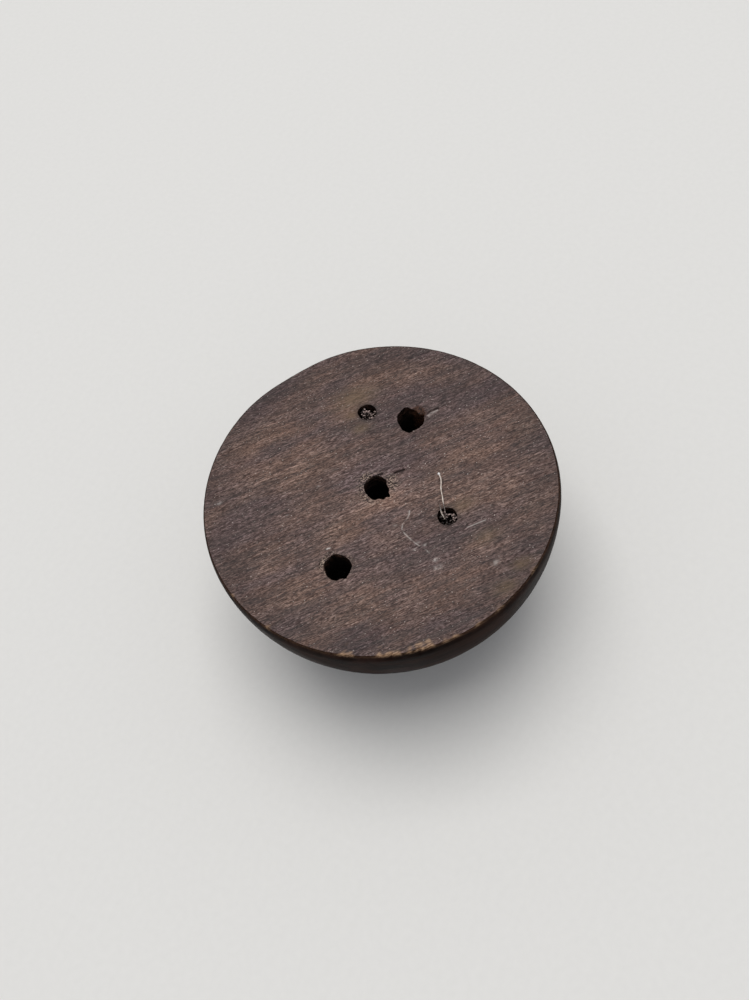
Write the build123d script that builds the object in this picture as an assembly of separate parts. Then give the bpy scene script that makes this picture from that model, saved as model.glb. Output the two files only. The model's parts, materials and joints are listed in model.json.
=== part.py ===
from build123d import *
import math
import os

# A large sew-on button turned from a dark-stained hardwood: a half ball with a flat, sawn back.
# Three sew holes in a row go right through it.  Two thinner blind holes in the back hold the
# stumps of a twisted cord that was glued in and has broken off level with the back.
#
# Units are millimetres.  The button lies on the crown of its dome: Z is up, the back face is on
# top, and the origin is the middle of the crown, on the axis that the button was turned about.
# X runs along the row of sew holes.

# Turned wooden body
BODY_HEIGHT = 19.0
BODY_RADIUS = 19.0            # at the widest, a little below the back face
BACK_RADIUS = 18.8            # at the edge of the back face
WIDEST_DEPTH = 1.3            # from the back face down to the widest ring
CROWN_RADIUS = 3.0            # flat spot where the turned blank was parted off
EDGE_BREAK = 0.12             # worn edge around the back face

# Sew holes: distance of each one's axis from the middle, along X
SEW_HOLE_RADIUS = 1.375
SEW_HOLE_X = (-9.9, 0.0, 9.0)

# Blind cord holes, as distance from the turning axis and angle from +X
CORD_HOLE_RADIUS = 1.0
CORD_HOLE_DEPTH = 6.5         # down to the shoulder of the drill's cone
DRILL_POINT_ANGLE = 118.0
UPPER_HOLE = (9.7, 30.3)
SIDE_HOLE = (8.3, -95.8)

# Glue at the bottom of each cord hole
GLUE_DEPTH = 1.2              # above the shoulder of the drill's cone
GLUE_GAP = 0.01               # shrinkage away from the wood

# Cord stumps: three plies twisted together
PLY_COUNT = 3
PLY_RADIUS = 0.45
PLY_ORBIT = 0.53              # from the cord's axis to a ply's axis
CORD_LAY = 9.0                # height of one full turn of a ply
UPPER_PLY_RECESSES = (0.75, 0.80, 0.55)   # broken ends, below the back face
SIDE_PLY_RECESSES = (0.90, 1.05, 0.45)

# Loose filaments pulled out of the side stump.  Each route starts on the stump's broken end
# and is given as (x, y, height above the back face).
FILAMENT_RADIUS = 0.09
LONG_ROUTE = (
    (-0.70, -7.98, -0.44),
    (-0.42, -7.79, -0.12),
    (-0.14, -7.66, 0.11),
    (0.42, -7.38, 0.23),
    (1.13, -7.03, 0.21),
    (1.93, -6.53, 0.26),
    (2.58, -6.37, 0.36),
    (3.08, -6.13, 0.50),
    (3.40, -5.75, 0.66),
)
SHORT_ROUTE = (
    (-0.86, -7.84, -0.44),
    (-0.76, -7.62, -0.14),
    (-0.52, -7.42, 0.10),
    (-0.20, -7.22, 0.19),
    (0.13, -6.98, 0.21),
)


def spot(polar, height):
    """The point at a distance and angle from the turning axis, at a height above the crown."""
    distance, angle = polar
    return (
        distance * math.cos(math.radians(angle)),
        distance * math.sin(math.radians(angle)),
        height,
    )


def turned_blank():
    """The half ball: an elliptical dome, a slightly bulged wall and the sawn back face."""
    widest_height = BODY_HEIGHT - WIDEST_DEPTH
    dome_height = widest_height / math.sqrt(1.0 - (CROWN_RADIUS / BODY_RADIUS) ** 2)
    crown_angle = -math.degrees(math.acos(CROWN_RADIUS / BODY_RADIUS))
    with BuildPart() as blank:
        with BuildSketch(Plane.XZ):
            with BuildLine():
                dome = EllipticalCenterArc(
                    (0, widest_height), BODY_RADIUS, dome_height, crown_angle, arc_size=-crown_angle
                )
                wall = TangentArc(
                    dome @ 1, (BACK_RADIUS, BODY_HEIGHT - EDGE_BREAK), tangent=(0, 1)
                )
                Line(wall @ 1, (BACK_RADIUS - EDGE_BREAK, BODY_HEIGHT))
                Polyline(
                    (BACK_RADIUS - EDGE_BREAK, BODY_HEIGHT), (0, BODY_HEIGHT), (0, 0), dome @ 0
                )
            make_face()
        revolve(axis=Axis.Z)
    return blank.part


def sew_hole(x):
    """The material that one through sew hole takes away."""
    drill = Cylinder(SEW_HOLE_RADIUS, BODY_HEIGHT + 2, align=(Align.CENTER, Align.CENTER, Align.MIN))
    return Pos(x, 0, -1) * drill


def cord_hole(polar):
    """The material that one blind cord hole takes away, with the drill's cone at the bottom."""
    with BuildPart() as drill:
        with BuildSketch(Plane.XZ):
            Polygon(
                (0, 1),
                (CORD_HOLE_RADIUS, 1),
                (CORD_HOLE_RADIUS, -CORD_HOLE_DEPTH),
                (0, -CORD_HOLE_DEPTH - cone_height(CORD_HOLE_RADIUS)),
                align=None,
            )
        revolve(axis=Axis.Z)
    return Pos(*spot(polar, BODY_HEIGHT)) * drill.part


def cone_height(radius):
    """Height of the drill's cone at a radius."""
    return radius / math.tan(math.radians(DRILL_POINT_ANGLE / 2))


def glue_bed(polar):
    """The hardened glue in the cone and the bottom of a cord hole."""
    radius = CORD_HOLE_RADIUS - GLUE_GAP
    with BuildPart() as bed:
        with BuildSketch(Plane.XZ):
            Polygon(
                (0, GLUE_DEPTH),
                (radius, GLUE_DEPTH),
                (radius, 0),
                (0, -cone_height(radius)),
                align=None,
            )
        revolve(axis=Axis.Z)
    return Pos(*spot(polar, BODY_HEIGHT - CORD_HOLE_DEPTH)) * bed.part


def cord_ply(polar, recess, turn):
    """One ply of a cord stump, twisting up from the glue to its broken end."""
    bottom = BODY_HEIGHT - CORD_HOLE_DEPTH + GLUE_DEPTH
    length = BODY_HEIGHT - recess - bottom
    section = Pos(PLY_ORBIT, 0) * Circle(PLY_RADIUS)
    ply = Solid.extrude_linear_with_rotation(
        section.face(), (0, 0, 0), (0, 0, length), 360.0 * length / CORD_LAY
    )
    return Pos(*spot(polar, bottom)) * Rot(0, 0, turn) * ply


def filament(route):
    """A round filament along short straight runs joined by tangent arcs."""
    points = [Vector(x, y, BODY_HEIGHT + height) for x, y, height in route]
    radii = []
    for before, corner, after in zip(points, points[1:], points[2:]):
        shorter_run = min((corner - before).length, (after - corner).length)
        turn = (corner - before).get_angle(after - corner)
        radii.append(0.45 * shorter_run / math.tan(math.radians(turn / 2)))
    print("filament corner radii", [round(radius, 2) for radius in radii])
    path = FilletPolyline(*points, radius=radii)
    section = Plane(origin=path @ 0, z_dir=path % 0) * Circle(FILAMENT_RADIUS)
    return sweep(section, path=path)


def button_body():
    """The turned body with its three sew holes and two cord holes."""
    body = turned_blank()
    for x in SEW_HOLE_X:
        body -= sew_hole(x)
    for polar in (UPPER_HOLE, SIDE_HOLE):
        body -= cord_hole(polar)
    return body


def sub_parts():
    """Every separate piece of the button, by name."""
    pieces = {
        "button_body": button_body(),
        "upper_glue_bed": glue_bed(UPPER_HOLE),
        "side_glue_bed": glue_bed(SIDE_HOLE),
        "long_filament": filament(LONG_ROUTE),
        "short_filament": filament(SHORT_ROUTE),
    }
    stumps = (
        ("upper", UPPER_HOLE, UPPER_PLY_RECESSES),
        ("side", SIDE_HOLE, SIDE_PLY_RECESSES),
    )
    for name, polar, recesses in stumps:
        for number, recess in enumerate(recesses):
            turn = 360.0 / PLY_COUNT * number
            pieces[f"{name}_cord_ply_{number + 1}"] = cord_ply(polar, recess, turn)
    return pieces


os.makedirs("parts", exist_ok=True)
for node, shape in sub_parts().items():
    export_step(shape, f"parts/{node}.step")
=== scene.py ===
import json
import math

import bpy
import numpy as np
from mathutils import Matrix, Vector
from mathutils.geometry import delaunay_2d_cdt


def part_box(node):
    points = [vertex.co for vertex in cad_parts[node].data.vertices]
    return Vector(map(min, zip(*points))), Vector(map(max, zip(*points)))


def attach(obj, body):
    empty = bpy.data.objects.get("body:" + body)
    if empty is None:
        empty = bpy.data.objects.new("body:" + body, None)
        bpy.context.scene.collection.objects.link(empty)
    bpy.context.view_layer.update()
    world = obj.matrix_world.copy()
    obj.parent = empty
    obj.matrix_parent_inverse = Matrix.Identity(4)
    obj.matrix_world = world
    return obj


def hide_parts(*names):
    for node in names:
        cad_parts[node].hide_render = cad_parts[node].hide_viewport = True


# The sew-on button's looks: a worn, dark-stained half ball of turned wood with torn drill holes,
# the frayed stumps of a cord and two loose filaments.  Shapes are worked out in millimetres in
# the row frame (Z up, back face on top, X along the row of sew holes) and put in as metres.

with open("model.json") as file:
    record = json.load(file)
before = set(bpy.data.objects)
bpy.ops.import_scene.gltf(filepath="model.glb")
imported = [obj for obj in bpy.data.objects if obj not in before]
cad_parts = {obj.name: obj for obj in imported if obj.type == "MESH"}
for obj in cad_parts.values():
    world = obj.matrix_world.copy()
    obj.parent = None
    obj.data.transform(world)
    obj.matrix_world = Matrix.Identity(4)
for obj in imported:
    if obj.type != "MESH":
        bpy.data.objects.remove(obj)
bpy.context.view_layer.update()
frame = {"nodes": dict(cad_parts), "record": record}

MM = 0.001

# ---- sizes, in millimetres

BODY_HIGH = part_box("button_body")[1] / MM
HEIGHT = BODY_HIGH.z
RADIUS = BODY_HIGH.x
WIDEST_DEPTH = 1.3            # the widest ring, below the back face
BACK_RADIUS = RADIUS - 0.2    # edge of the back face
EDGE_ROUND = 0.16             # worn roundness of that edge
CROWN_RADIUS = 3.0            # parting-off flat under the dome
CROWN_POINTS = 30             # points of the profile across that flat

MOUNTS = {mount["name"]: mount for mount in frame["record"]["mounts"]}
SEW_RADIUS = MOUNTS["sew_hole_centre"]["dims"]["r_mm"]
CORD_HOLE_RADIUS = 1.0
CORD_HOLE_DEPTH = 6.5         # down to the shoulder of the drill's cone
GLUE_DEPTH = 1.2              # above that shoulder
DRILL_CONE_SLOPE = math.tan(math.radians(118 / 2))

GRAIN_ANGLE = math.radians(-44)   # run of the wood's fibres in the back face, from +X
NEAR_ANGLE = math.radians(-143)   # side of the button that faces the camera


def sew_hole_axis(name):
    """Where a sew hole's axis passes through the back face."""
    x, y, _ = MOUNTS[name]["pos_m"]
    return np.array([x, y]) / MM


def cord_hole_axis(glue_node):
    """Where a cord hole's axis passes through the back face: above its glue."""
    low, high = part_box(glue_node)
    middle = (low + high) / 2 / MM
    return np.array([middle.x, middle.y])


# ---- noise


def hashed(cells, seed):
    """A repeatable random number from 0 to 1 for each whole-number cell."""
    x, y, z = (cells[:, k].astype(np.int64) & 0xFFFFFFFF for k in range(3))
    h = (x * 374761393 + y * 668265263 + z * 2147483647 + seed * 1274126177) & 0xFFFFFFFF
    h = ((h ^ (h >> 13)) * 1274126177) & 0xFFFFFFFF
    h = ((h ^ (h >> 16)) * 2246822519) & 0xFFFFFFFF
    return ((h ^ (h >> 15)) & 0xFFFFFF) / float(0xFFFFFF)


def noise(points, size, seed):
    """Smooth noise from -1 to 1.  size is the width of a lump, or one width for each axis."""
    p = points / np.asarray(size, float)
    cell = np.floor(p)
    f = p - cell
    f = f * f * (3 - 2 * f)
    total = np.zeros(len(p))
    for corner in np.ndindex(2, 2, 2):
        weight = np.prod(np.where(corner, f, 1 - f), axis=1)
        total += weight * hashed(cell + corner, seed)
    return total * 2 - 1


def rough(points, size, seed, octaves=3):
    """Several sizes of noise, each half as large and half as strong as the one before."""
    size = np.asarray(size, float)
    layers = [noise(points, size / 2**k, seed + k) / 2**k for k in range(octaves)]
    return sum(layers) / sum(0.5**k for k in range(octaves))


def bump(value, centre, width):
    """A soft bell, 1 at the centre and almost 0 two widths away."""
    return np.exp(-(((value - centre) / width) ** 2))


def clamped(value):
    """The value kept between 0 and 1."""
    return np.clip(value, 0, 1)


def turn_apart(a, b):
    """The angle between two directions, from -pi to pi."""
    return (a - b + math.pi) % (2 * math.pi) - math.pi


def along_grain(xy):
    """Positions in the back face measured along and across the wood's fibres."""
    c, s = math.cos(GRAIN_ANGLE), math.sin(GRAIN_ANGLE)
    return np.stack([xy[:, 0] * c + xy[:, 1] * s, xy[:, 1] * c - xy[:, 0] * s], axis=1)


# ---- the turned body's plain surface


def turned_profile():
    """Radius and height along the outside, from the middle of the crown to the back face."""
    widest = HEIGHT - WIDEST_DEPTH
    dome_height = widest / math.sqrt(1 - (CROWN_RADIUS / RADIUS) ** 2)
    crown = np.linspace(0, CROWN_RADIUS, CROWN_POINTS, endpoint=False)
    sweep = np.linspace(math.acos(CROWN_RADIUS / RADIUS), 0, 400, endpoint=False)
    rise = np.linspace(0, 1, 30, endpoint=False)
    edge = np.linspace(0, math.pi / 2, 20)
    wall_top = HEIGHT - EDGE_ROUND
    radius = np.concatenate([
        crown,
        RADIUS * np.cos(sweep),
        RADIUS - (RADIUS - BACK_RADIUS) * rise**2,
        BACK_RADIUS - EDGE_ROUND * (1 - np.cos(edge)),
    ])
    height = np.concatenate([
        np.zeros_like(crown),
        widest - dome_height * np.sin(sweep),
        widest + (wall_top - widest) * rise,
        wall_top + EDGE_ROUND * np.sin(edge),
    ])
    run = np.concatenate([[0], np.cumsum(np.hypot(np.diff(radius), np.diff(height)))])
    return run, radius, height


RUN, RUN_RADIUS, RUN_HEIGHT = turned_profile()
DOME_END = np.searchsorted(RUN_RADIUS, RADIUS - 1e-6)   # the dome's radius only grows up to here


def run_at_radius(radius):
    """Distance along the outside from the crown to where the dome has this radius."""
    return np.interp(radius, RUN_RADIUS[:DOME_END], RUN[:DOME_END])


def unrolled_to_solid(flat):
    """The outside's point for each point of its flat map, which keeps distance from the crown."""
    run = np.hypot(flat[:, 0], flat[:, 1])
    scale = np.interp(run, RUN, RUN_RADIUS) / np.maximum(run, 1e-9)
    height = np.interp(run, RUN, RUN_HEIGHT)
    return np.column_stack([flat * scale[:, None], height])


def circle(centre, radius, count):
    """Points round a circle, anticlockwise from +X."""
    a = np.arange(count) * 2 * math.pi / count
    return np.asarray(centre) + radius * np.column_stack([np.cos(a), np.sin(a)])


def spread(radius, spacing):
    """Points all over a disc, on rings a spacing apart, each ring turned from the last."""
    golden_turn = 2.39996
    rings = []
    for k in range(1, int(radius / (0.9 * spacing)) + 1):
        ring_radius = 0.9 * spacing * k
        if ring_radius > radius - 0.6 * spacing:
            break
        a = np.arange(round(2 * math.pi * ring_radius / spacing))
        a = a * 2 * math.pi / len(a) + golden_turn * k
        rings.append(ring_radius * np.column_stack([np.cos(a), np.sin(a)]))
    return np.concatenate(rings)


def sheet_with_holes(rim, holes, spacings, wanted, collars):
    """Triangles that fill a rim and leave the holes open.

    wanted gives each point the spacing it should have, one of spacings, and collars is how many
    rings of points stand close round each hole.  Returns the points, the rim and the holes first,
    and the triangles.
    """
    middles = [hole.mean(axis=0) for hole in holes]
    reach = []
    rings = []
    for hole, middle in zip(holes, middles):
        width = np.hypot(*(hole - middle).T).mean()
        step = 2 * math.pi * width / len(hole)
        for k in range(1, collars + 1):
            rings.append(middle + (hole - middle) * (1 + k * step / width))
        reach.append(width + (collars + 0.6) * step)
    fill = []
    for spacing in spacings:
        points = spread(np.hypot(*rim.T).max(), spacing)
        keep = wanted(points) == spacing
        for middle, limit in zip(middles, reach):
            keep &= np.hypot(*(points - middle).T) > limit
        fill.append(points[keep])
    points = np.concatenate([rim, *holes, *rings, *fill])
    edges = []
    hole_of = np.full(len(points), -1)
    start = 0
    for number, loop in enumerate([rim, *holes]):
        ids = np.arange(start, start + len(loop))
        edges += list(zip(ids.tolist(), np.roll(ids, -1).tolist()))
        if number:
            hole_of[ids] = number
        start += len(loop)
    corners = [Vector(point) for point in points.tolist()]
    flat, _, faces, *_ = delaunay_2d_cdt(corners, edges, [], 1, 1e-9, False)
    assert len(flat) == len(points)
    triangles = np.array(faces)
    owner = hole_of[triangles]
    in_hole = (owner[:, 0] > 0) & (owner[:, 0] == owner[:, 1]) & (owner[:, 0] == owner[:, 2])
    return points, triangles[~in_hole]


# ---- worn places, in the row frame

# Torn mouths of the drilled holes: (direction in degrees, half width in degrees, how far the edge
# has broken outwards in millimetres).  A negative one is a lip of fibres that hangs inwards.
SEW_MOUTHS = {
    "sew_hole_plus_x": [
        (-163, 18, 0.30), (170, 14, 0.16), (82, 26, 0.24), (42, 22, 0.34), (2, 14, 0.10),
        (-45, 14, 0.26), (-85, 26, 0.14), (-125, 14, 0.08),
    ],
    "sew_hole_centre": [
        (-110, 8, 0.46), (-132, 14, 0.26), (-168, 18, 0.22), (-52, 24, -0.34), (-8, 12, -0.10),
        (92, 30, 0.10), (35, 22, 0.05),
    ],
    "sew_hole_minus_x": [
        (-123, 9, 0.20), (-146, 8, -0.08), (44, 20, 0.24), (92, 22, 0.16), (180, 30, 0.10),
        (-60, 20, 0.06),
    ],
}
CORD_MOUTHS = {
    "upper_glue_bed": [(90, 40, 0.16), (-90, 50, 0.02), (10, 25, 0.06)],
    "side_glue_bed": [(75, 45, 0.14), (0, 30, 0.07), (-100, 50, 0.04)],
}
MOUTH_DEPTH = 3.2             # how far down a hole the tearing reaches

NOTCH = ("sew_hole_plus_x", -16, 30, 0.80, 0.42)  # hole, direction, half width, reach, depth
SPLINTER = ((10.0, -1.55), (10.45, -1.8), (11.0, -2.35))
SPLINTER_SHADOW_GROOVE = ((10.2, -1.25), (10.85, -1.7), (11.4, -2.3))  # a groove beside the splinter, painted dark as its shadow
CRACKS = (
    ((2.25, -1.0), (2.6, -1.45), (2.95, -1.8)),
    ((0.7, 1.3), (1.25, 0.75), (1.7, 0.2)),
)
SCRATCH = (
    (-1.5, -4.3), (-1.95, -4.45), (-2.65, -4.4), (-3.2, -4.25), (-3.8, -4.4), (-4.1, -4.85),
    (-4.4, -5.5), (-4.75, -6.3), (-5.1, -7.7), (-5.8, -8.9),
)
SHORT_SCRATCH = ((-1.3, -10.6), (0.1, -12.0))
PALE_SPOTS = (                # x, y, radius, strength
    (-4.6, -7.3, 0.15, 0.9), (-5.15, -8.0, 0.14, 0.7), (-5.8, -8.9, 0.22, 1.0),
    (-6.5, -9.4, 0.30, 0.9), (-5.4, -6.55, 0.12, 1.0), (-4.55, -6.55, 0.13, 0.7),
    (-3.6, -3.6, 0.15, 0.7), (-1.65, -4.3, 0.12, 0.9), (-4.05, -14.6, 0.28, 1.0),
    (-8.35, 1.8, 0.11, 5.0), (1.65, 18.3, 0.10, 1.0), (-2.0, 6.1, 0.14, 0.9),
    (-4.7, 8.2, 0.10, 1.0), (-6.3, 7.65, 0.10, 0.8), (-6.5, 6.1, 0.14, 0.7),
    (-7.45, 15.35, 0.22, 0.7),
)
TAN_PATCHES = (               # x, y, radius, strength
    (-3.25, -17.0, 0.75, 0.9), (-6.15, -16.4, 0.8, 0.8), (-1.45, -12.8, 0.9, 0.6),
    (0.9, -9.15, 0.9, 0.6), (9.7, 7.05, 1.6, 0.8), (7.4, 6.35, 0.6, 0.7), (6.25, 4.75, 0.7, 0.8),
)
CRUMBLY_RINGS = (             # hole, radius, half width, where: (direction, half width, strength)
    ("sew_hole_centre", 1.50, 0.30, ((-48, 34, 1.0), (72, 44, 0.85), (160, 40, 0.75))),
    ("sew_hole_minus_x", 1.40, 0.20, ((88, 40, 0.85), (-25, 14, 0.35))),
)
CHIPPED_RIM = (               # direction and half width in degrees, size in millimetres
    (-166.5, 1.6, 0.24), (-164, 0.9, 0.16), (-155.5, 1.1, 0.26), (-152.5, 1.4, 0.36),
    (-150, 0.9, 0.2), (-146.5, 0.9, 0.22), (-143.5, 1.3, 0.34), (-140.5, 1.2, 0.28),
    (-135.5, 1.0, 0.15), (-132.5, 1.2, 0.16), (-124.5, 1.4, 0.14), (-117, 1.5, 0.12),
    (-101, 1.3, 0.10), (168, 1.2, 0.14), (152, 1.0, 0.10),
)
FLATTENED_RIM = (56, 13, 0.32)  # direction, half width, how far in


def distance_to_path(xy, path):
    """How far each point is from a line through the path's points."""
    path = np.asarray(path, float)
    best = np.full(len(xy), 1e9)
    for a, b in zip(path, path[1:]):
        along = clamped((xy - a) @ (b - a) / ((b - a) @ (b - a)))
        best = np.minimum(best, np.hypot(*(xy - a - along[:, None] * (b - a)).T))
    return best


def polar_about(xy, middle):
    """Distance and direction of each point from a hole's axis."""
    offset = xy - middle
    return np.hypot(*offset.T), np.arctan2(offset[:, 1], offset[:, 0])


def near_path(xy, path, width):
    """A soft bell across a line through the path's points."""
    return bump(distance_to_path(xy, path), 0, width)


def facing(direction, towards, half_width):
    """A soft bell round a circle, with its middle and half width in degrees."""
    return bump(turn_apart(direction, math.radians(towards)), 0, math.radians(half_width))


def by_direction(direction, marks):
    """Sum of soft bells round a circle, each (direction, half width, size)."""
    total = np.zeros(len(direction))
    for towards, half_width, size in marks:
        total += size * facing(direction, towards, half_width)
    return total


# ---- the wooden body

HOLE_POINTS = 108
RIM_POINTS = 780
HAIR, FINE, COARSE = 0.065, 0.11, 0.235    # spacing of points in the back face
WALL_FINE, DOME_COARSE = 0.18, 0.40        # and on the outside
BACK_COLLARS, DOME_COLLARS = 4, 3          # rings of points close round each hole
SHARP_ANGLE = math.radians(48)             # edges sharper than this are shaded as edges

SEW_HOLES = {name: sew_hole_axis(name) for name in SEW_MOUTHS}
CORD_HOLES = {name: cord_hole_axis(name) for name in CORD_MOUTHS}
ALL_HOLES = [(axis, SEW_RADIUS) for axis in SEW_HOLES.values()]
ALL_HOLES += [(axis, CORD_HOLE_RADIUS) for axis in CORD_HOLES.values()]


def back_spacing(xy):
    """Fine points where the back face is torn or chipped, and the finest at scratches and crumbs."""
    fine = np.hypot(*xy.T) > BACK_RADIUS - 0.9
    for axis, radius in ALL_HOLES:
        fine |= np.hypot(*(xy - axis).T) < radius + 1.1
    fine |= np.hypot(*(xy - SEW_HOLES["sew_hole_centre"]).T) < 3.0
    for path in (SPLINTER, SPLINTER_SHADOW_GROOVE, *CRACKS):
        fine |= distance_to_path(xy, path) < 0.6
    hair = crumble(np.column_stack([xy, np.full(len(xy), HEIGHT)])) > 0.15
    for path in (SCRATCH, SHORT_SCRATCH, SPLINTER, SPLINTER_SHADOW_GROOVE, *CRACKS):
        hair |= distance_to_path(xy, path) < 0.24
    for x, y, reach, _ in PALE_SPOTS:
        hair |= np.hypot(*(xy - (x, y)).T) < 2 * reach + 0.05
    return np.where(hair, HAIR, np.where(fine, FINE, COARSE))


def outside_spacing(flat):
    """Fine points near the back face's edge, coarse ones over the dome."""
    run = np.hypot(*flat.T)
    return np.where(run > RUN[-1] - 2.6, WALL_FINE, DOME_COARSE)


class Shell:
    """Points and faces of one closed surface, gathered patch by patch."""

    def __init__(self):
        self.points = []
        self.faces = []
        self.face_zones = []
        self.count = 0

    def add_points(self, points):
        """Keeps the points and returns their numbers."""
        numbers = np.arange(self.count, self.count + len(points))
        self.points.append(points)
        self.count += len(points)
        return numbers

    def add_faces(self, faces, zone):
        self.faces += faces.tolist()
        self.face_zones += [zone] * len(faces)

    def add_tube(self, top, rings, zone):
        """Quads down a hole from its top ring; the last ring may be one that already exists."""
        upper = top
        for ring in rings:
            lower = ring if ring.ndim == 1 else self.add_points(ring)
            quads = [upper, np.roll(upper, -1), np.roll(lower, -1), lower]
            self.add_faces(np.column_stack(quads), zone)
            upper = lower
        return upper


BACK, OUTSIDE, DRILLED = 0, 1, 2


def plain_body():
    """The body with clean round holes: its points, faces and each face's kind of surface."""
    shell = Shell()
    flat_radius = BACK_RADIUS - EDGE_ROUND
    rim = circle((0, 0), flat_radius, RIM_POINTS)
    mouths = [circle(axis, radius, HOLE_POINTS) for axis, radius in ALL_HOLES]
    flat, triangles = sheet_with_holes(
        rim, mouths, (HAIR, FINE, COARSE), back_spacing, BACK_COLLARS
    )
    back = shell.add_points(np.column_stack([flat, np.full(len(flat), HEIGHT)]))
    shell.add_faces(back[triangles], BACK)

    unrolled_rim = circle((0, 0), RUN[-1], RIM_POINTS)
    exits = []
    for axis in SEW_HOLES.values():
        ring = circle(axis, SEW_RADIUS, HOLE_POINTS)
        radius = np.hypot(*ring.T)
        exits.append(ring * (run_at_radius(radius) / radius)[:, None])
    flat, triangles = sheet_with_holes(
        unrolled_rim, exits, (WALL_FINE, DOME_COARSE), outside_spacing, DOME_COLLARS
    )
    added = shell.add_points(unrolled_to_solid(flat[RIM_POINTS:]))
    outside = np.concatenate([back[:RIM_POINTS], added])
    shell.add_faces(outside[triangles][:, ::-1], OUTSIDE)

    for number, axis in enumerate(SEW_HOLES.values()):
        exit_height = unrolled_to_solid(exits[number])[:, 2]
        rings = []
        for share in hole_rows(HEIGHT - exit_height.mean()):
            height = HEIGHT + (exit_height - HEIGHT) * share
            rings.append(np.column_stack([circle(axis, SEW_RADIUS, HOLE_POINTS), height]))
        rings.append(mouth_of(outside, number))
        shell.add_tube(mouth_of(back, number), rings, DRILLED)

    for number, axis in enumerate(CORD_HOLES.values(), len(SEW_HOLES)):
        rings = []
        for share in (*hole_rows(CORD_HOLE_DEPTH), 1.0):
            height = np.full(HOLE_POINTS, HEIGHT - CORD_HOLE_DEPTH * share)
            rings.append(np.column_stack([circle(axis, CORD_HOLE_RADIUS, HOLE_POINTS), height]))
        shoulder = shell.add_tube(mouth_of(back, number), rings, DRILLED)
        tip_height = HEIGHT - CORD_HOLE_DEPTH - CORD_HOLE_RADIUS / DRILL_CONE_SLOPE
        tip = shell.add_points(np.array([[*axis, tip_height]]))
        tips = np.full(HOLE_POINTS, tip[0])
        shell.add_faces(np.column_stack([shoulder, np.roll(shoulder, -1), tips]), DRILLED)
    return np.concatenate(shell.points), shell.faces, np.array(shell.face_zones)


def mouth_of(sheet, number):
    """A hole's edge among the numbers of a sheet's points, where the holes follow the rim."""
    first = RIM_POINTS + number * HOLE_POINTS
    return sheet[first : first + HOLE_POINTS]


def hole_rows(depth):
    """Shares of a hole's depth for its rings of points: close together near the mouth."""
    near = np.concatenate([np.arange(0.08, 1.3, 0.1), np.arange(1.4, 3.6, 0.2)])
    far = np.arange(4.0, depth - 0.3, 0.65)
    return np.concatenate([near, far]) / depth


def point_normals(points, faces):
    """Unit normals at the points, from a throwaway mesh."""
    mesh = bpy.data.meshes.new("normals")
    mesh.from_pydata(points.tolist(), [], faces)
    mesh.update()
    normals = np.zeros(len(points) * 3)
    mesh.vertex_normals.foreach_get("vector", normals)
    bpy.data.meshes.remove(mesh)
    return normals.reshape(-1, 3)


def mouth_marks():
    """Each hole's axis, radius and the breaks round its mouth."""
    marks = [(SEW_HOLES[name], SEW_RADIUS, SEW_MOUTHS[name]) for name in SEW_HOLES]
    marks += [(CORD_HOLES[name], CORD_HOLE_RADIUS, CORD_MOUTHS[name]) for name in CORD_HOLES]
    return marks


def tear_mouths(points):
    """Breaks the holes' edges outwards and roughens them, fading with depth and distance."""
    moved = points.copy()
    depth = HEIGHT - points[:, 2]
    for number, (axis, radius, marks) in enumerate(mouth_marks()):
        away, direction = polar_about(points[:, :2], axis)
        near = (away < radius + 1.4) & (away > 0.5 * radius) & (depth > -0.01)
        ragged = 0.05 * rough(points[near], 0.28, 40 + number)
        reach = by_direction(direction[near], marks) + ragged
        down = clamped(depth[near] / MOUTH_DEPTH)
        out = clamped((away[near] - radius) / 1.3)
        fade = (1 - down) ** 2 * (1 + 2 * down) * (1 - out) ** 2 * (1 + 2 * out)
        on_wall = away[near] < radius + 0.01
        wall_marks = 0.075 * rough(points[near], (0.45, 0.45, 0.3), 60 + number) * on_wall
        unit = (points[near, :2] - axis) / away[near, None]
        moved[near, :2] += unit * (reach * fade + wall_marks)[:, None]
    return moved


def notch_depth(points):
    """The shallow torn pocket beside one sew hole, as a depth below the back face."""
    name, towards, half_width, reach, depth = NOTCH
    away, direction = polar_about(points[:, :2], SEW_HOLES[name])
    side = facing(direction, towards, half_width)
    ragged = 0.12 * rough(points, 0.5, 71)
    out = (away - SEW_RADIUS) / (reach * (0.25 + 0.75 * side) + ragged + 0.05)
    return depth * clamped(1 - out) * clamped(side * 1.6 - 0.35)


def crumble(points):
    """How broken up the back face is round the holes' mouths, 0 to 1."""
    total = np.zeros(len(points))
    for name, radius, half_width, marks in CRUMBLY_RINGS:
        away, direction = polar_about(points[:, :2], SEW_HOLES[name])
        strength = clamped(0.15 + by_direction(direction, marks))
        ragged = 0.14 * rough(points, 0.5, 9, 2)
        middle = radius + half_width * strength
        total += strength * bump(away + ragged, middle, half_width * (0.8 + strength))
    return total


def back_relief(points):
    """Height of the sawn back face's texture over its plane."""
    grain = along_grain(points[:, :2])
    grain3 = np.column_stack([grain, np.zeros(len(points))])
    waves = 0.045 * rough(grain3, (9.0, 5.0, 1), 11, 2)
    streaks = 0.020 * rough(grain3, (7.0, 0.55, 1), 12, 2)
    fibres = 0.012 * rough(grain3, (1.3, 0.26, 1), 14, 2)
    crumbs = crumble(points)
    crumbs = crumbs * (0.22 * rough(points, 0.30, 16, 2) - 0.12)
    gaps = sum(near_path(points[:, :2], path, 0.10) for path in CRACKS)
    gaps = gaps + 0.8 * near_path(points[:, :2], SPLINTER_SHADOW_GROOVE, 0.10)
    splinter = 0.16 * near_path(points[:, :2], SPLINTER, 0.20)
    splinter *= 0.7 + 0.5 * noise(points, 0.35, 18)
    return waves + streaks + fibres + crumbs - 0.22 * gaps + splinter - 0.04


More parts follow.
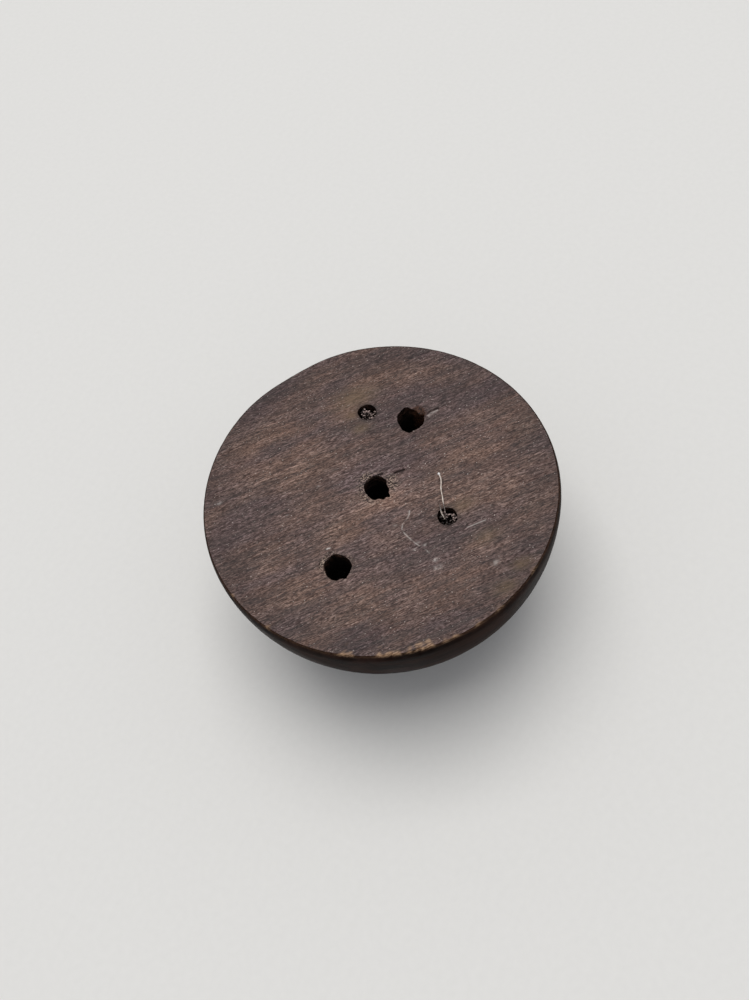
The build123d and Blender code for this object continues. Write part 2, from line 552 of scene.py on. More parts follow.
def rim_wear(direction):
    """How far the edge of the back face is worn or chipped in, round the rim."""
    ring = np.column_stack([np.cos(direction), np.sin(direction), np.zeros(len(direction))])
    chips = by_direction(direction, CHIPPED_RIM)
    ragged = clamped(rough(ring * RADIUS, 1.1, 21, 4) - 0.12)
    fine = clamped(rough(ring * RADIUS, 0.45, 25, 2))
    near_side = bump(turn_apart(direction, NEAR_ANGLE), 0, 1.2)
    return chips * (0.55 + 0.9 * ragged) + 0.16 * ragged * near_side + 0.02 * fine


def wear_rim(points):
    """Flattens one side of the rim and chips its edge, moving points inwards and down."""
    radius = np.hypot(points[:, 0], points[:, 1])
    direction = np.arctan2(points[:, 1], points[:, 0])
    depth = HEIGHT - points[:, 2]
    towards, half_width, far_in = FLATTENED_RIM
    side = facing(direction, towards, half_width)
    near_edge = clamped((radius - 12) / (BACK_RADIUS - 12)) ** 3
    flat = far_in * side * near_edge * clamped(1 - depth / 6)
    chips = rim_wear(direction)
    over = clamped(1 - (BACK_RADIUS - radius) / 0.55) * clamped(1 - depth / 0.75)
    inward = flat + chips * over
    moved = points.copy()
    moved[:, :2] *= (1 - inward / np.maximum(radius, 1))[:, None]
    moved[:, 2] -= 0.55 * chips * over * clamped(1 - depth / 0.6)
    return moved


def outside_relief(points, run):
    """Fine turning rings and slight hand-made unevenness of the dome, always inwards."""
    ring = np.column_stack([run, np.zeros(len(run)), np.zeros(len(run))])
    turning = 0.006 * rough(ring, (0.5, 1, 1), 31, 2)
    uneven = 0.035 * rough(points, 7.0, 33, 2)
    pores = 0.010 * rough(points, (0.9, 0.9, 0.4), 35, 2)
    return turning + uneven + pores - 0.05


def worn_body(points, faces, face_zones):
    """The body's points with all its wear, and the masks that its materials read."""
    normals = point_normals(points, faces)
    depth = HEIGHT - points[:, 2]
    radius = np.hypot(points[:, 0], points[:, 1])
    on_back = depth < 1e-6
    in_hole = np.zeros(len(points), bool)
    for axis, hole_radius in ALL_HOLES:
        away, _ = polar_about(points[:, :2], axis)
        in_hole |= (away < hole_radius + 1e-6) & ~on_back
    outside_faces = [face for face, zone in zip(faces, face_zones) if zone == OUTSIDE]
    on_outside = np.zeros(len(points), bool)
    on_outside[np.unique(outside_faces)] = True
    on_outside &= ~on_back
    moved = tear_mouths(points)
    low = np.zeros(len(points))
    low[on_back] = back_relief(points[on_back]) - notch_depth(points[on_back])
    mouth_wall = in_hole & (depth < MOUTH_DEPTH)
    sunk = notch_depth(points[mouth_wall]) * (1 - depth[mouth_wall] / MOUTH_DEPTH)
    low[mouth_wall] = -sunk - 0.04 * (1 - depth[mouth_wall] / MOUTH_DEPTH)
    edge_fade = clamped((BACK_RADIUS - EDGE_ROUND - radius) / 0.5)
    moved[:, 2] += low * np.where(on_back, edge_fade, 1)
    run = np.interp(HEIGHT - depth, RUN_HEIGHT[CROWN_POINTS:], RUN[CROWN_POINTS:])
    skin = outside_relief(points[on_outside], run[on_outside])
    skin *= clamped(depth[on_outside] / 1.5) * clamped((radius[on_outside] - 2.0) / 3)
    moved[on_outside] += normals[on_outside] * skin[:, None]
    moved = wear_rim(moved)
    moved[:, 2] = np.maximum(moved[:, 2], 0)
    return moved, wear_masks(points, depth, radius)


def spots(xy, marks):
    """Sum of soft spots, a little longer along the grain, each (x, y, radius, strength)."""
    total = np.zeros(len(xy))
    for x, y, reach, strength in marks:
        away = along_grain(xy - (x, y)) / (1.5 * reach, 0.85 * reach)
        total += strength * bump(np.hypot(*away.T), 0, 1)
    return total


def wear_masks(points, depth, radius):
    """Numbers from 0 to 1 at each point, which the wooden materials read.

    worn is pale rubbed wood; torn_and_lit is raw brown wood, and on a hole's wall under the notch
    also painted light that fades downwards; scuff is whitish dust and scratches;
    cracks_rings_and_shade is dark cracks, a darker ring round each cord hole and painted shadow
    beside the splinter; aged is yellower stain; and crumb is wood broken into pale and dark bits.
    """
    xy = points[:, :2]
    direction = np.arctan2(xy[:, 1], xy[:, 0])
    grain = np.column_stack([along_grain(xy), points[:, 2]])
    flat = depth < 0.02
    inwards = np.maximum(BACK_RADIUS - radius, 0)
    chips = clamped(by_direction(direction, CHIPPED_RIM) * 4.0)
    streaky = rough(grain, (1.5, 0.24, 0.24), 51, 2)
    reach = 0.10 + chips * np.clip(0.50 + 1.0 * streaky, 0.05, 2)
    edge = clamped(1.4 - inwards / reach) * clamped(1 - depth / 0.35)
    worn = edge * (0.12 + 0.9 * chips)

    name, towards, half_width, _, _ = NOTCH
    away, from_hole = polar_about(xy, SEW_HOLES[name])
    side = facing(from_hole, towards, 1.5 * half_width)
    near_hole = away < SEW_RADIUS + 0.6
    torn_and_lit = clamped(notch_depth(points) * 6)
    # On the hole's wall under the notch: raw torn wood and painted light on the lit upper wall, fading
    # downwards.
    torn_and_lit = torn_and_lit + ~flat * near_hole * side * clamped(1 - depth / 1.6)

    scuff = 0.54 * near_path(xy, SCRATCH, 0.055)
    scuff *= clamped(0.55 + 1.0 * noise(points, 0.5, 55))
    narrowing = np.clip((12.0 - xy[:, 0]) / 2.0, 0.2, 1)
    pale = 0.48 * bump(distance_to_path(xy, SPLINTER) / narrowing, 0, 0.20) * (xy[:, 0] > 9.9)
    scuff += pale * clamped(0.75 + 0.8 * noise(points, 0.3, 59))
    scuff += 0.45 * near_path(xy, SHORT_SCRATCH, 0.06)
    scuff += 0.46 * spots(xy, PALE_SPOTS) * clamped(0.55 + 1.2 * noise(points, 0.18, 57))

    cracks_rings_and_shade = sum(near_path(xy, path, 0.09) for path in CRACKS)
    # Painted shadow: a dark line beside the raised splinter.
    cracks_rings_and_shade = cracks_rings_and_shade + 0.7 * near_path(xy, SPLINTER_SHADOW_GROOVE, 0.09)
    # A darker ring round each cord hole.
    for axis in CORD_HOLES.values():
        away, _ = polar_about(xy, axis)
        cracks_rings_and_shade += 0.45 * bump(away, CORD_HOLE_RADIUS, 0.30)
    masks = {
        "worn": worn, "torn_and_lit": torn_and_lit, "scuff": scuff * flat, "cracks_rings_and_shade": cracks_rings_and_shade * flat,
        "aged": spots(xy, TAN_PATCHES) * flat,
        "crumb": crumble(points) * clamped(1 - depth / 0.5),
    }
    return {key: clamped(values) for key, values in masks.items()}


def mesh_object(name, points, faces, materials, material_of_face=None, masks=None):
    """A smooth-shaded object from points in millimetres."""
    mesh = bpy.data.meshes.new(name)
    mesh.from_pydata((np.asarray(points) * MM).tolist(), [], faces)
    mesh.update()
    mesh.polygons.foreach_set("use_smooth", np.ones(len(mesh.polygons), bool))
    if material_of_face is not None:
        mesh.polygons.foreach_set("material_index", np.asarray(material_of_face, np.int32))
    for key, values in (masks or {}).items():
        mesh.attributes.new(key, "FLOAT", "POINT").data.foreach_set("value", values.astype(np.float32))
    for material in materials:
        mesh.materials.append(material)
    piece = bpy.data.objects.new(name, mesh)
    bpy.context.scene.collection.objects.link(piece)
    return piece


# ---- materials


def srgb(red, green, blue):
    """A colour given as screen values from 0 to 255, as the shader wants it."""
    values = []
    for value in (red, green, blue):
        v = value / 255
        values.append(v / 12.92 if v <= 0.04045 else ((v + 0.055) / 1.055) ** 2.4)
    return (*values, 1.0)


class Shading:
    """One material and the few kinds of node that these materials are made of."""

    def __init__(self, name, specular, subsurface=0.0):
        self.material = bpy.data.materials.new(name)
        self.material.use_nodes = True
        self.tree = self.material.node_tree
        self.surface = self.tree.nodes["Principled BSDF"]
        self.surface.inputs["Specular IOR Level"].default_value = specular
        self.surface.inputs["Subsurface Weight"].default_value = subsurface
        self.place = self.tree.nodes.new("ShaderNodeTexCoord").outputs["Object"]

    def put(self, value, socket):
        """Links a socket, or sets a number or colour."""
        if isinstance(value, bpy.types.NodeSocket):
            self.tree.links.new(value, socket)
        else:
            socket.default_value = value

    def make(self, kind, inputs, **settings):
        made = self.tree.nodes.new("ShaderNode" + kind)
        for key, value in settings.items():
            setattr(made, key, value)
        for key, value in inputs.items():
            self.put(value, made.inputs[key])
        return made

    def calc(self, operation, *values):
        """The result of a Math node."""
        return self.make("Math", dict(enumerate(values)), operation=operation).outputs[0]

    def mix(self, share, first, second, blend="MIX"):
        """Two colours mixed by a share."""
        made = self.make("Mix", {}, data_type="RGBA", blend_type=blend, clamp_factor=True)
        for index, value in ((0, share), (6, first), (7, second)):
            self.put(value, made.inputs[index])
        return made.outputs[2]

    def scaled(self, colour, amount):
        """A colour made lighter or darker by a number that may vary."""
        return self.make("VectorMath", {0: colour, "Scale": amount}, operation="SCALE").outputs[0]

    def tinted(self, colour, share, dark, light):
        """A colour multiplied by a tint that goes from dark to light with share."""
        return self.mix(1.0, colour, self.mix(share, (*dark, 1), (*light, 1)), "MULTIPLY")

    def span(self, value, low, high, first=0.0, last=1.0):
        """A number moved smoothly from first to last as value goes from low to high."""
        inputs = {
            "Value": value, "From Min": low, "From Max": high, "To Min": first, "To Max": last,
        }
        return self.make("MapRange", inputs, interpolation_type="SMOOTHSTEP").outputs[0]

    def in_mm(self, turn=0.0):
        """The object's own coordinates in millimetres, turned about Z."""
        inputs = {"Vector": self.place, "Rotation": (0, 0, turn), "Scale": (1 / MM,) * 3}
        return self.make("Mapping", inputs).outputs[0]

    def noise(self, where, size, detail=2.0, roughness=0.5, distortion=0.0):
        """Noise about 0.5 whose lumps have this size in millimetres along each axis."""
        stretch = [1 / width for width in size]
        scaled = self.make("VectorMath", {0: where, 1: stretch}, operation="MULTIPLY").outputs[0]
        inputs = {
            "Vector": scaled, "Scale": 1.0, "Detail": detail, "Roughness": roughness,
            "Distortion": distortion,
        }
        return self.make("TexNoise", inputs).outputs[0]

    def mask(self, name):
        """A number stored at the mesh's points."""
        return self.make("Attribute", {}, attribute_name=name).outputs["Fac"]

    def finish(self, colour, roughness, height, lift_mm):
        """Colour, roughness and bump into the shader; lift is the bump's height."""
        self.put(colour, self.surface.inputs["Base Color"])
        self.put(roughness, self.surface.inputs["Roughness"])
        bump_node = self.make("Bump", {"Height": height, "Strength": 1.0, "Distance": lift_mm * MM})
        self.put(bump_node.outputs[0], self.surface.inputs["Normal"])
        return self.material


def worn_over(look, colour, where):
    """Pale rubbed edges, torn raw wood with painted light on one hole's wall, scuffs, dark cracks,
    darker rings and painted shadow, over a stained wood's colour.
    """
    splits = look.noise(where, (0.8, 0.12, 0.12), 2)
    tan = look.mix(look.span(splits, 0.38, 0.62), srgb(94, 70, 54), srgb(176, 144, 116))
    # Raw torn wood; on one hole's upper wall it also stands for painted light.
    raw_and_lit = look.mix(look.span(splits, 0.36, 0.64), srgb(20, 11, 8), srgb(80, 51, 36))
    colour = look.mix(look.mask("torn_and_lit"), colour, raw_and_lit)
    bits = look.noise(where, (0.20, 0.13, 0.13), 1)
    for low, high, bit in ((0.50, 0.42, srgb(32, 22, 17)), (0.53, 0.61, srgb(170, 150, 134))):
        share = look.calc("MULTIPLY", look.mask("crumb"), look.span(bits, low, high))
        colour = look.mix(share, colour, bit)
    colour = look.mix(look.mask("worn"), colour, tan)
    colour = look.mix(look.mask("scuff"), colour, srgb(210, 202, 196))
    # Dark cracks, darker rings round the cord holes and painted shadow beside the splinter.
    return look.mix(look.mask("cracks_rings_and_shade"), colour, srgb(24, 17, 14))


def back_wood():
    """The sawn back face: fine fibres over tan and grey bands, in brown and grey patches."""
    look = Shading("sawn_stained_wood", 0.3)
    where = look.in_mm(-GRAIN_ANGLE)
    clouds = look.noise(where, (15.0, 9.0, 9.0), 1)
    patches = look.noise(where, (8.0, 3.6, 3.6), 3)
    bands = look.noise(where, (4.6, 0.62, 0.62), 3)
    fibres = look.noise(where, (1.0, 0.145, 0.145), 3, 0.7)
    strands = look.noise(where, (5.0, 0.16, 0.16), 2)
    fine = look.noise(where, (0.32, 0.095, 0.095), 2, 0.6)
    dots = look.noise(where, (0.18, 0.12, 0.12), 0)
    contours = look.noise(where, (3.4, 0.5, 0.5), 2)
    flat_x, flat_y, _ = look.make("SeparateXYZ", {0: where}).outputs
    squares = [look.calc("POWER", side, 2.0) for side in (flat_x, flat_y)]
    from_middle = look.calc("SQRT", look.calc("ADD", *squares))

    detail = look.mix(look.span(fibres, 0.30, 0.70), srgb(43, 26, 22), srgb(117, 98, 94))
    calm = look.noise(where, (3.5, 1.8, 1.8), 2)
    colour = look.mix(look.span(calm, 0.40, 0.66, 0.10, 0.60), detail, srgb(82, 63, 58))
    share = look.span(fine, 0.28, 0.72)
    colour = look.tinted(colour, share, (0.28, 0.20, 0.18), (1.72, 1.80, 1.84))
    colour = look.scaled(colour, look.span(strands, 0.3, 0.7, 0.80, 1.20))
    share = look.span(bands, 0.38, 0.62)
    colour = look.tinted(colour, share, (0.76, 0.72, 0.71), (1.27, 1.28, 1.28))
    share = look.span(patches, 0.36, 0.64)
    colour = look.tinted(colour, share, (0.82, 0.82, 0.87), (1.20, 1.15, 1.03))
    share = look.span(clouds, 0.35, 0.65)
    colour = look.tinted(colour, share, (0.86, 0.86, 0.89), (1.14, 1.12, 1.06))
    off_contour = look.calc("ABSOLUTE", look.calc("SUBTRACT", contours, 0.52))
    colour = look.mix(look.span(off_contour, 0.0, 0.014, 0.22, 0.0), colour, srgb(150, 134, 126))
    colour = look.mix(look.span(contours, 0.34, 0.30, 0.0, 0.5), colour, srgb(44, 36, 36))
    colour = look.mix(look.span(fine, 0.69, 0.78, 0.0, 0.8), colour, srgb(192, 180, 172))
    colour = look.mix(look.span(dots, 0.77, 0.84, 0.0, 0.85), colour, srgb(200, 188, 180))
    aged = look.calc("MULTIPLY", look.mask("aged"), look.span(fibres, 0.3, 0.6, 0.3, 0.8))
    colour = look.mix(aged, colour, srgb(112, 92, 68))
    # Lighter towards the middle and darker towards the rim: partly painted sheen and light, partly
    # paler worn wood in the middle.
    colour = look.scaled(colour, look.span(from_middle, 0.0, 6.0, 1.42, 1.0))
    colour = look.scaled(colour, look.span(from_middle, 12.0, 19.0, 1.0, 0.84))
    colour = worn_over(look, colour, where)
    roughness = look.span(bands, 0.3, 0.7, 0.52, 0.72)
    ridges = look.calc("MULTIPLY", look.calc("ADD", fibres, fine), 0.5)
    return look.finish(colour, roughness, look.calc("ADD", ridges, bands), 0.035)


def turned_wood():
    """The turned outside: nearly black stain with faint grain, turning lines and pores."""
    look = Shading("turned_stained_wood", 0.02)
    where = look.in_mm(-GRAIN_ANGLE)
    grain = look.noise(where, (16.0, 1.1, 1.1), 4, 0.6, 0.3)
    pores = look.noise(where, (2.4, 0.22, 0.22), 1)
    rings = look.noise(look.in_mm(), (400.0, 400.0, 0.22), 2)
    patches = look.noise(where, (8.0, 6.0, 6.0), 2)

    colour = look.mix(look.span(grain, 0.35, 0.65), srgb(16, 9, 7), srgb(38, 22, 17))
    colour = look.mix(look.span(patches, 0.45, 0.7, 0.0, 0.3), colour, srgb(52, 33, 25))
    colour = look.mix(look.span(pores, 0.36, 0.28, 0.0, 0.7), colour, srgb(12, 8, 7))
    colour = look.scaled(colour, look.span(rings, 0.3, 0.7, 0.9, 1.1))
    colour = worn_over(look, colour, where)
    roughness = look.span(patches, 0.3, 0.7, 0.40, 0.56)
    height = look.calc("ADD", look.calc("MULTIPLY", rings, 0.4), pores)
    return look.finish(colour, roughness, height, 0.02)


def drilled_wood():
    """The holes' walls: torn brown fibres at the mouth, darker further down as painted shade."""
    look = Shading("drilled_wood", 0.15)
    where = look.in_mm(-GRAIN_ANGLE)
    height_up = look.make("SeparateXYZ", {0: where}).outputs[2]
    fibres = look.noise(where, (0.5, 0.32, 0.32), 3, 0.65)
    turns = look.noise(where, (1.5, 1.5, 0.25), 2)
    # Painted shade: the walls turn near black below the mouth, where less light reaches.
    painted_depth_shade = look.span(height_up, HEIGHT - 0.1, HEIGHT - 2.2)
    colour = look.mix(look.span(fibres, 0.38, 0.66), srgb(14, 9, 7), srgb(70, 48, 38))
    colour = look.mix(painted_depth_shade, colour, srgb(16, 10, 8))
    colour = look.scaled(colour, look.span(turns, 0.35, 0.65, 0.55, 1.3))
    colour = worn_over(look, colour, where)
    height = look.calc("ADD", fibres, turns)
    return look.finish(colour, look.span(fibres, 0.3, 0.7, 0.55, 0.8), height, 0.06)


def cord_fibre():
    """Black waxed cord: glossy fibres of slightly different blacks, the lighter ones partly a painted
    sheen, and pinkish grey where snapped, partly a painted highlight.
    """
    look = Shading("black_waxed_cord", 0.6)
    where = look.in_mm()
    wax = look.noise(where, (0.2, 0.2, 0.4), 2)
    # Each fibre's own black; the lighter fibres partly stand in for a painted sheen.
    fibre = look.mix(look.mask("tone_and_sheen"), srgb(14, 10, 9), srgb(74, 62, 58))
    colour = look.scaled(fibre, look.span(wax, 0.3, 0.7, 0.6, 1.4))
    # Pinkish grey snapped ends with a painted highlight along each hook.
    tip = look.calc("MULTIPLY", look.mask("tip"), look.span(wax, 0.28, 0.5, 0.35, 1.0))
    colour = look.mix(tip, colour, srgb(196, 172, 164))
    return look.finish(colour, look.span(wax, 0.3, 0.7, 0.22, 0.45), wax, 0.01)


def pale_filament():
    """A stiff clear-to-straw filament, greyer near the cord and near white at its melted bead,
    partly a painted highlight.
    """
    look = Shading("pale_filament", 0.7, subsurface=0.1)
    where = look.in_mm()
    cloud = look.noise(where, (0.5, 0.5, 0.5), 2)
    colour = look.mix(look.span(cloud, 0.3, 0.7), srgb(190, 172, 158), srgb(236, 224, 212))
    colour = look.mix(look.mask("clear"), colour, srgb(88, 76, 70))
    # The melted bead near white: partly a painted highlight.
    colour = look.mix(look.mask("tip"), colour, srgb(250, 246, 242))
    return look.finish(colour, look.span(cloud, 0.3, 0.7, 0.2, 0.4), cloud, 0.004)


def old_glue():
    """Brown glue with dust in it, at the bottom of the cord holes."""
    look = Shading("brown_glue", 0.5)
    where = look.in_mm()
    dust = look.noise(where, (0.3, 0.3, 0.3), 3)
    colour = look.mix(look.span(dust, 0.35, 0.65), srgb(62, 38, 20), srgb(112, 78, 44))
    return look.finish(colour, look.span(dust, 0.3, 0.7, 0.15, 0.45), dust, 0.03)


# ---- the cord stumps

PLY_COUNT = 3
PLY_ORBIT = 0.53              # from the hole's axis to each ply's middle
CORD_LAY = 9.0                # height in which a ply goes once round
GLUE_TOP = HEIGHT - CORD_HOLE_DEPTH + GLUE_DEPTH
FIBRE_RADIUS = 0.068
FIBRE_TURN = 5.0              # height in which a fibre goes once round its ply, the other way
FIBRE_RINGS = ((0, 1), (0.13, 6), (0.26, 11), (0.38, 16))  # from the ply's middle, how many
CURL_SHARE = 0.42             # of a ply's fibres
FIBRE_SIDES = 8
FIBRE_STEP = 0.3
# The frayed ends of each stump: the side, in degrees, on which they stand higher, by how much,
# the lift of them all, how pale the curled ones are (pale snapped ends and painted highlights),
# and how much paler they are on that side: painted light there and painted shade on the other.
STUMPS = {
    "upper": (40, 0.52, -0.10, 0.95, 0.4),
    "side": (-14, 0.72, 0.06, 0.30, 1.6),
}


def ply_middle(axis, number, height):
    """The middle of a ply at each height: the plies wind round the hole's axis."""
    turn = 2 * math.pi * (number / PLY_COUNT + (height - GLUE_TOP) / CORD_LAY)
    x = axis[0] + PLY_ORBIT * np.cos(turn)
    y = axis[1] + PLY_ORBIT * np.sin(turn)
    return np.column_stack([x, y, height])


def tube_along(middle, radii, sides):
    """Points and faces of a closed tube along a line of points, one radius for each."""
    forward = np.gradient(middle, axis=0)
    forward /= np.linalg.norm(forward, axis=1)[:, None]
    side = np.zeros_like(middle)
    start = np.cross(forward[0], (0.0, 1.0, 0.0) if abs(forward[0][1]) < 0.9 else (1.0, 0.0, 0.0))
    for k, ahead in enumerate(forward):
        start = start - ahead * (start @ ahead)
        side[k] = start = start / np.linalg.norm(start)
    over = np.cross(forward, side)
    a = np.arange(sides) * 2 * math.pi / sides
    ring = np.cos(a)[None, :, None] * side[:, None] + np.sin(a)[None, :, None] * over[:, None]
    points = middle[:, None] + np.asarray(radii)[:, None, None] * ring
    points = np.concatenate([points.reshape(-1, 3), middle[:1], middle[-1:]])
    faces = []
    for row in range(len(middle) - 1):
        for k in range(sides):
            a0, a1 = row * sides + k, row * sides + (k + 1) % sides
            faces.append([a0, a1, a1 + sides, a0 + sides])
    last = (len(middle) - 1) * sides
    for k in range(sides):
        faces.append([(k + 1) % sides, k, len(points) - 2])
        faces.append([last + k, last + (k + 1) % sides, len(points) - 1])
    return points, faces


def inside_hole(middle, axis):
    """Keeps a fibre's points within the round hole that was drilled; its worn wall may be nearer."""
    away, direction = polar_about(middle[:, :2], axis)
    away = np.minimum(away, CORD_HOLE_RADIUS - FIBRE_RADIUS - 0.03)
    kept = middle.copy()
    kept[:, 0] = axis[0] + away * np.cos(direction)
    kept[:, 1] = axis[1] + away * np.sin(direction)
    return kept


def curled_end(last, draw):
    """Points that carry a fibre from its last point over into a little hook."""
    reach = draw.uniform(0.11, 0.20)
    towards = draw.uniform(0, 2 * math.pi)
    bend = np.linspace(0, math.radians(draw.uniform(95, 165)), 8)[1:]
    out = reach * (1 - np.cos(bend))
    rise = reach * np.sin(bend) * 0.8
    return last + np.column_stack([out * math.cos(towards), out * math.sin(towards), rise])


def ply_fibres(axis, number, top, frayed, seed):
    """One ply of a snapped cord: a twisted bundle whose fibres end at different heights.

    Some curl over at the end.  frayed is one of STUMPS.  Returns points, faces and the masks tip
    (pale snapped ends, with painted highlights along the hooks and painted light and shade by side)
    and tone_and_sheen (each fibre's own black, the lighter ones partly a painted sheen).
    """
    lean, rise, lift, paleness, side_light = frayed
    lean = math.radians(lean)
    draw = np.random.default_rng(seed)
    points, faces, tips, shades = [], [], [], []
    count = 0
    for distance, many in FIBRE_RINGS:
        for k in range(many):
            curls = draw.random() < CURL_SHARE
            side = ply_middle(axis, number, np.array([top]))[0, :2] - axis
            turned = 2 * math.pi * (k / many - (top - GLUE_TOP) / FIBRE_TURN)
            side = side + distance * np.array([math.cos(turned), math.sin(turned)])
            leaning = side @ (math.cos(lean), math.sin(lean)) / CORD_HOLE_RADIUS
            end = top - abs(draw.normal(0, 0.11)) + lift + rise * leaning + 0.08 * curls
            steps = max(int((end - GLUE_TOP) / FIBRE_STEP), 2)
            height = np.linspace(GLUE_TOP, end - 0.05, steps)
            if not curls:
                height = np.concatenate([height, [end - 0.02, end]])
            turn = 2 * math.pi * ((k + 0.5 * draw.random()) / many - (height - GLUE_TOP) / FIBRE_TURN)
            loose = 1 + 0.25 * draw.normal() * clamped((height - end + 0.8) / 0.8) ** 2
            middle = ply_middle(axis, number, height)
            middle[:, 0] += distance * loose * np.cos(turn)
            middle[:, 1] += distance * loose * np.sin(turn)
            if curls:
                middle = np.concatenate([middle, curled_end(middle[-1], draw)])
            middle = inside_hole(middle, axis)
            radii = np.full(len(middle), FIBRE_RADIUS * draw.uniform(0.85, 1.1))
            radii[-2:] *= (0.9, 0.6)
            tube, quads = tube_along(middle, radii, FIBRE_SIDES)
            row = np.minimum(np.arange(len(tube)) // FIBRE_SIDES, len(middle) - 1)
            row[-2] = 0
            # Pale snapped ends with a painted highlight along each hook, painted lighter on the side
            # the ends lean to and in painted shade on the other.
            pale = draw.uniform(0.6, 1.0) if curls else draw.uniform(0, 0.25)
            pale *= clamped(paleness + side_light * leaning)
            points.append(tube)
            faces += [[corner + count for corner in face] for face in quads]
            count += len(tube)
            tips.append(pale * bump(row, len(middle) - 3.5, 2.4))
            # Each fibre's own black, the lighter ones partly a painted sheen.
            shades.append(np.full(len(tube), draw.random() ** 2))
    masks = {"tip": np.concatenate(tips), "tone_and_sheen": np.concatenate(shades)}
    return np.concatenate(points), faces, masks


def build_cords():
    """Each ply of both stumps, in place of its CAD solid."""
    material = cord_fibre()
    for seed, (place, frayed) in enumerate(STUMPS.items()):
        axis = CORD_HOLES[f"{place}_glue_bed"]
        for number in range(PLY_COUNT):
            node = f"{place}_cord_ply_{number + 1}"
            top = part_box(node)[1].z / MM
            points, faces, masks = ply_fibres(axis, number, top, frayed, 10 * seed + number)
            piece = mesh_object(f"{node}_fibres", points, faces, [material], masks=masks)
            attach(piece, "root")
            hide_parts(node)


# ---- the loose filaments

# Each route is (x, y, height above the back face) in millimetres, from inside the cord's end.
LONG_ROUTE = (
    (-0.70, -7.98, -0.44), (-0.42, -7.79, -0.12), (-0.14, -7.66, 0.11), (0.39, -7.30, 0.23),
    (1.08, -6.93, 0.21), (1.89, -6.42, 0.26), (2.53, -6.24, 0.36), (3.03, -5.98, 0.50),
    (3.35, -5.59, 0.66),
)
SHORT_ROUTE = (
    (-0.97, -7.96, -0.48), (-0.85, -7.80, -0.33), (-0.74, -7.60, -0.10), (-0.52, -7.40, 0.10),
    (-0.20, -7.22, 0.19), (0.13, -6.98, 0.21),
)
FILAMENT_RADIUS = 0.078
FILAMENT_SIDES = 10
BEAD_RADIUS = 0.15            # the melted tip of the long filament


def smooth_route(route):
    """Closely spaced points along the smooth curve that a route's points control."""
    curve = bpy.data.curves.new("route", "CURVE")
    curve.dimensions = "3D"
    curve.resolution_u = 12
    spline = curve.splines.new("NURBS")
    spline.points.add(len(route) - 1)
    for point, (x, y, up) in zip(spline.points, route):
        point.co = (x, y, HEIGHT + up, 1)
    spline.order_u = 3
    spline.use_endpoint_u = True
    holder = bpy.data.objects.new("route", curve)
    mesh = bpy.data.meshes.new_from_object(holder)
    points = np.zeros(len(mesh.vertices) * 3)
    mesh.vertices.foreach_get("co", points)
    bpy.data.objects.remove(holder)
    bpy.data.meshes.remove(mesh)
    bpy.data.curves.remove(curve)
    return points.reshape(-1, 3)


def build_filament(node, route, bead, clear, material):
    """A thin filament along its route, a little uneven, in place of its CAD solid.

    It is see-through, and so darker, between the two distances from its start that clear gives.
    """
    middle = smooth_route(route)
    run = np.concatenate([[0], np.cumsum(np.linalg.norm(np.diff(middle, axis=0), axis=1))])
    line = np.column_stack([run, np.zeros_like(run), np.zeros_like(run)])
    radii = FILAMENT_RADIUS * (0.86 + 0.14 * noise(line, 0.5, 81))
    radii *= np.clip((run[-1] - run) / 0.12, 0.35, 1) ** 0.5
    melted = bump(run, run[-1] - 0.14, 0.13) * bead
    radii = np.maximum(radii, BEAD_RADIUS * melted)
    points, faces = tube_along(middle, radii, FILAMENT_SIDES)
    row = np.minimum(np.arange(len(points)) // FILAMENT_SIDES, len(middle) - 1)
    start, end = clear
    masks = {
        "tip": clamped(1.6 * melted)[row],
        "clear": clamped(np.minimum(run - start, end - run) / 0.3 + 0.5)[row],
    }
    piece = mesh_object(f"{node}_strand", points, faces, [material], masks=masks)
    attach(piece, "root")
    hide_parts(node)


# ---- putting it together


def build_body():
    """The worn wooden body, in place of its CAD solid."""
    points, faces, face_zones = plain_body()
    moved, masks = worn_body(points, faces, face_zones)
    materials = [back_wood(), turned_wood(), drilled_wood()]
    piece = mesh_object("worn_body", moved, faces, materials, face_zones, masks)
    piece.data.set_sharp_from_angle(angle=SHARP_ANGLE)
    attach(piece, "root")
    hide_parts("button_body")


def finish_glue():
    """The glue beds keep their CAD shape and get the glue's material."""
    material = old_glue()
    for node in CORD_HOLES:
        piece = frame["nodes"][node]
        piece.data.materials.clear()
        piece.data.materials.append(material)


FLOOR_GAP = 0.02              # under the crown, so that the two faces don't coincide
FLOOR_HALF = 20000.0


def build_floor():
    """A plain pale floor, far larger than the view."""
    look = Shading("pale_floor", 0.2)
    where = look.in_mm()
    speckle = look.noise(where, (0.8, 0.8, 0.8), 2)
    colour = look.mix(speckle, srgb(226, 225, 222), srgb(231, 230, 227))
    material = look.finish(colour, 0.75, speckle, 0.005)
    sides = ((-1, -1), (1, -1), (1, 1), (-1, 1))
    corners = [(x * FLOOR_HALF, y * FLOOR_HALF, 0) for x, y in sides]
    floor = mesh_object("floor", corners, [(0, 1, 2, 3)], [material])
    floor.location.z = -FLOOR_GAP * MM


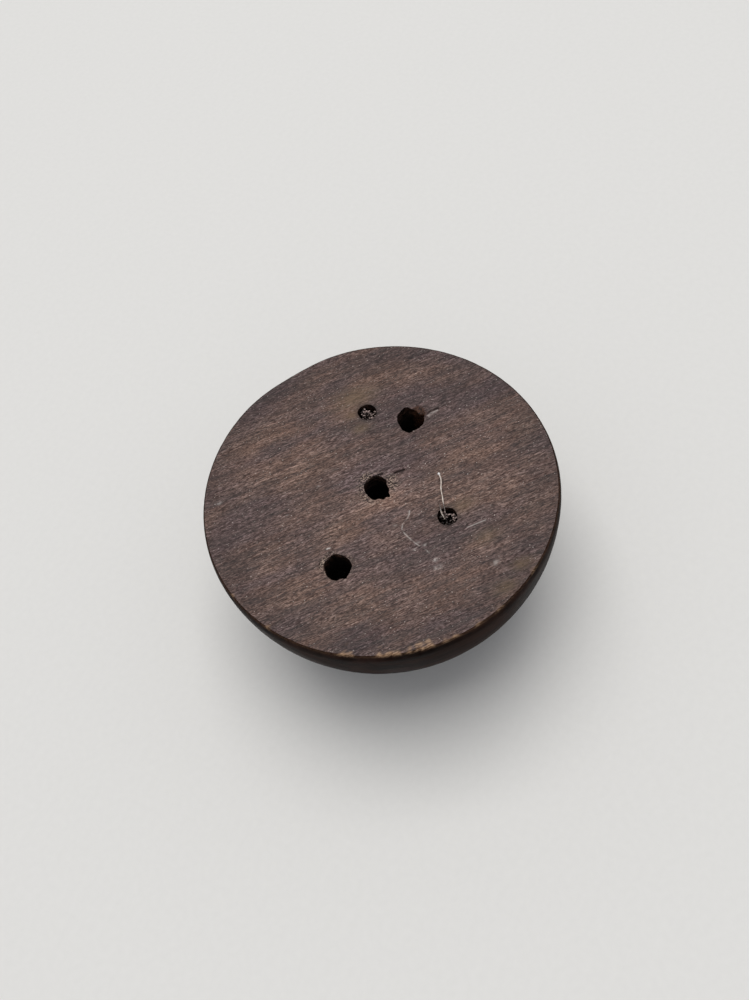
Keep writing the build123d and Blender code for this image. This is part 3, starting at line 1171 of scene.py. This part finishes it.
def add_camera():
    """Looks down at the back face from beyond the button's near side, turned a little."""
    aim = Vector((-1.55, -0.36, HEIGHT)) * MM
    distance = 96.7 * MM
    heading, tilt, roll = (math.radians(a) for a in (37.56, 58.975, -15.76))
    forward = Vector((
        math.cos(tilt) * math.cos(heading), math.cos(tilt) * math.sin(heading), -math.sin(tilt),
    ))
    level = forward.cross(Vector((0, 0, 1))).normalized()
    upright = level.cross(forward)
    right = level * math.cos(roll) + upright * math.sin(roll)
    up = right.cross(forward)
    data = bpy.data.cameras.new("camera")
    data.lens = 33.48
    data.sensor_width = 36
    data.clip_start = 0.005
    camera = bpy.data.objects.new("camera", data)
    turn = Matrix((right, up, -forward)).transposed().to_4x4()
    camera.matrix_world = Matrix.Translation(aim - forward * distance) @ turn
    bpy.context.scene.collection.objects.link(camera)
    bpy.context.scene.camera = camera


def add_area_light(name, place, width, power, colour):
    """A square soft light that points at the button."""
    data = bpy.data.lights.new(name, "AREA")
    data.size = width
    data.energy = power
    data.color = colour
    light = bpy.data.objects.new(name, data)
    light.location = place
    light.rotation_euler = (-Vector(place)).to_track_quat("-Z", "Y").to_euler()
    bpy.context.scene.collection.objects.link(light)


def light_scene():
    """Plain soft light from above and a little behind, in a pale room."""
    far = Vector((math.cos(NEAR_ANGLE), math.sin(NEAR_ANGLE), 0)) * -1
    place = far * 0.48 + Vector((0, 0, 2.4))
    add_area_light("key", place, width=2.0, power=41.0, colour=(1.0, 0.985, 0.96))
    world = bpy.data.worlds.new("room")
    world.use_nodes = True
    background = world.node_tree.nodes["Background"]
    background.inputs["Color"].default_value = (0.93, 0.95, 1.0, 1)
    background.inputs["Strength"].default_value = 0.42
    bpy.context.scene.world = world
    bpy.context.scene.view_settings.view_transform = "Standard"


add_camera()
light_scene()
build_floor()
build_body()
build_cords()
filament = pale_filament()
build_filament("long_filament", LONG_ROUTE, True, (-1.0, 1.45), filament)
build_filament("short_filament", SHORT_ROUTE, False, (1.0, 3.0), filament)
finish_glue()

bpy.context.view_layer.update()
